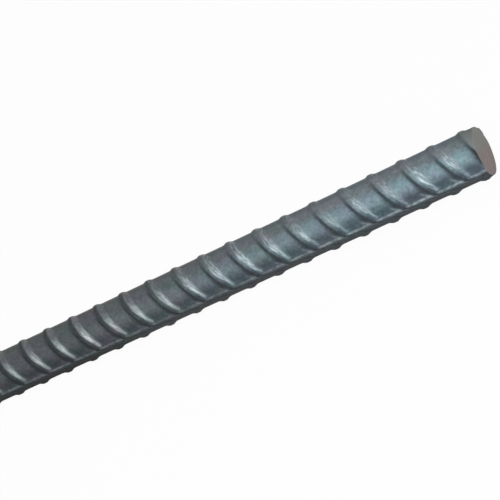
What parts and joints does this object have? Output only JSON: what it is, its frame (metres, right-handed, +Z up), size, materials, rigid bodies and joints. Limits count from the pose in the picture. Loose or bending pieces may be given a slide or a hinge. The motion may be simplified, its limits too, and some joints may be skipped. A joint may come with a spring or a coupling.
{
  "type": "reinforcing bar",
  "caption": "Straight hot-rolled steel reinforcing bar with a round core, slanted cross ribs and lengthwise ribs, cut square at both ends, laid in concrete to carry tension.",
  "frame": {"origin": "middle of the bar, on its axis halfway between the two cut ends", "axes": "+X along the bar, +Y and -Y through the crests of the lengthwise ribs, +Z up from the floor the bar lies on"},
  "size_m": [0.61, 0.0137, 0.0122],
  "materials": {
    "mill_scale_steel": "hot-rolled with blue-grey mill scale, rubbed brighter along the rib crests, taupe on the cut ends"
  },
  "bodies": {
    "root": {"rebar": "mill_scale_steel"}
  },
  "joints": []
}
